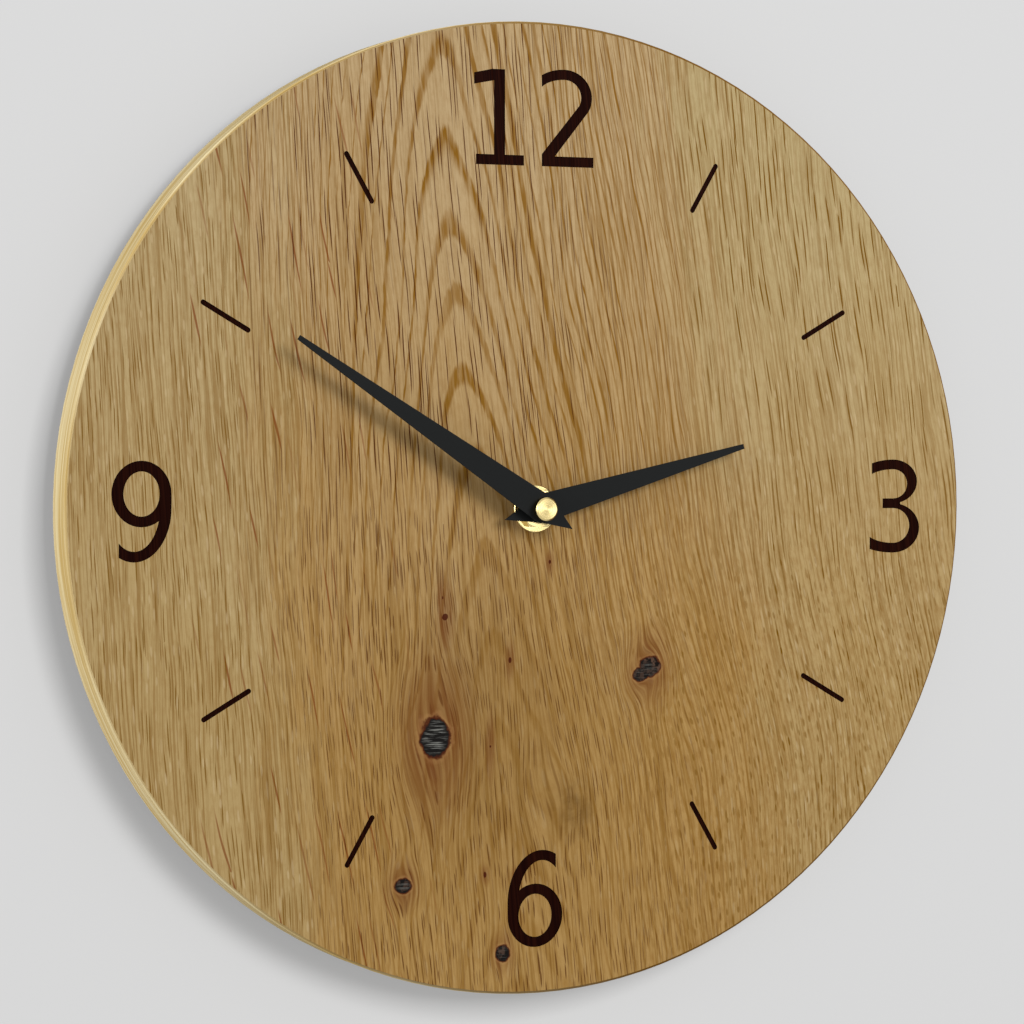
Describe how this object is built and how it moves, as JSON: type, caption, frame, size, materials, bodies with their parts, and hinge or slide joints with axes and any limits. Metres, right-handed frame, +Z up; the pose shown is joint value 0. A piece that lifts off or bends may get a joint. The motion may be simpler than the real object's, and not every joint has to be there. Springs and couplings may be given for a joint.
{
  "type": "wooden wall clock",
  "caption": "Round oak wall clock with burnt numerals, flat black hands and a geared quartz movement that hangs from a keyhole bracket.",
  "frame": {"origin": "on the shaft axis at the wall plane, where the back of the movement meets the wall", "axes": "+Z up towards 12 o'clock, +Y into the wall, so the dial faces -Y"},
  "size_m": [0.3, 0.0324, 0.3],
  "materials": {
    "oak": "satin",
    "black_hand": "matte",
    "turned_brass": "polished",
    "gasket_rubber": "matte",
    "zinc_steel": "satin",
    "case_plastic": "matte",
    "knob_plastic": "satin",
    "gear_plastic": "satin",
    "ferrite": "matte",
    "soft_iron": "satin",
    "bobbin_plastic": "satin",
    "copper_wire": "satin",
    "board_laminate": "satin",
    "chip_epoxy": "satin",
    "crystal_can": "polished",
    "contact_steel": "polished",
    "cell_can": "polished",
    "cell_sleeve": "gloss"
  },
  "bodies": {
    "case": {"dial_disc": "oak", "brass_washer": "turned_brass", "hex_nut": "turned_brass", "centre_bush": "turned_brass", "gasket": "gasket_rubber", "hanger_bracket": "zinc_steel", "front_case": "case_plastic", "rear_cover": "case_plastic", "stator_plate": "soft_iron", "coil_core": "soft_iron", "coil_bobbin": "bobbin_plastic", "coil_winding": "copper_wire", "circuit_board": "board_laminate", "chip": "chip_epoxy", "quartz_crystal": "crystal_can", "positive_contact": "contact_steel", "negative_contact": "contact_steel"},
    "minute": {"minute_hand": "black_hand", "minute_pipe": "turned_brass", "centre_wheel": "gear_plastic", "cap_nut": "turned_brass"},
    "hour": {"hour_hand": "black_hand", "hour_wheel": "gear_plastic"},
    "setting": {"motion_wheel": "gear_plastic", "setting_knob": "knob_plastic"},
    "third": {"third_wheel": "gear_plastic"},
    "seconds": {"seconds_wheel": "gear_plastic"},
    "intermediate": {"intermediate_wheel": "gear_plastic"},
    "rotor": {"rotor_pinion": "gear_plastic", "rotor_magnet": "ferrite"},
    "battery": {"battery_can": "cell_can", "battery_terminal": "cell_can", "battery_sleeve": "cell_sleeve"}
  },
  "joints": [
    {"name": "minute_turn", "type": "hinge", "parent": "case", "child": "minute", "pos_m": [0, 0, 0], "axis": [0, 1, 0], "continuous": true},
    {"name": "hour_turn", "type": "hinge", "parent": "case", "child": "hour", "pos_m": [0, 0, 0], "axis": [0, 1, 0], "continuous": true},
    {"name": "setting_turn", "type": "hinge", "parent": "case", "child": "setting", "pos_m": [0.01182, 0, 0.00208], "axis": [0, 1, 0], "continuous": true},
    {"name": "third_turn", "type": "hinge", "parent": "case", "child": "third", "pos_m": [-0.00987, 0, 0.0057], "axis": [0, 1, 0], "continuous": true},
    {"name": "seconds_turn", "type": "hinge", "parent": "case", "child": "seconds", "pos_m": [0, 0, 0], "axis": [0, 1, 0], "continuous": true},
    {"name": "intermediate_turn", "type": "hinge", "parent": "case", "child": "intermediate", "pos_m": [0.00201, 0, 0.01142], "axis": [0, 1, 0], "continuous": true},
    {"name": "rotor_turn", "type": "hinge", "parent": "case", "child": "rotor", "pos_m": [0.00601, 0, 0.01835], "axis": [0, 1, 0], "continuous": true},
    {"name": "battery_out", "type": "slide", "parent": "case", "child": "battery", "axis": [0, 1, 0], "range_m": [0, 0.03]}
  ],
  "couplings": [
    {"joint": "hour_turn", "follows": "minute_turn", "ratio": 0.083333},
    {"joint": "setting_turn", "follows": "minute_turn", "ratio": -0.33333},
    {"joint": "third_turn", "follows": "minute_turn", "ratio": -8},
    {"joint": "seconds_turn", "follows": "minute_turn", "ratio": 60},
    {"joint": "intermediate_turn", "follows": "minute_turn", "ratio": -300},
    {"joint": "rotor_turn", "follows": "minute_turn", "ratio": 1800}
  ]
}
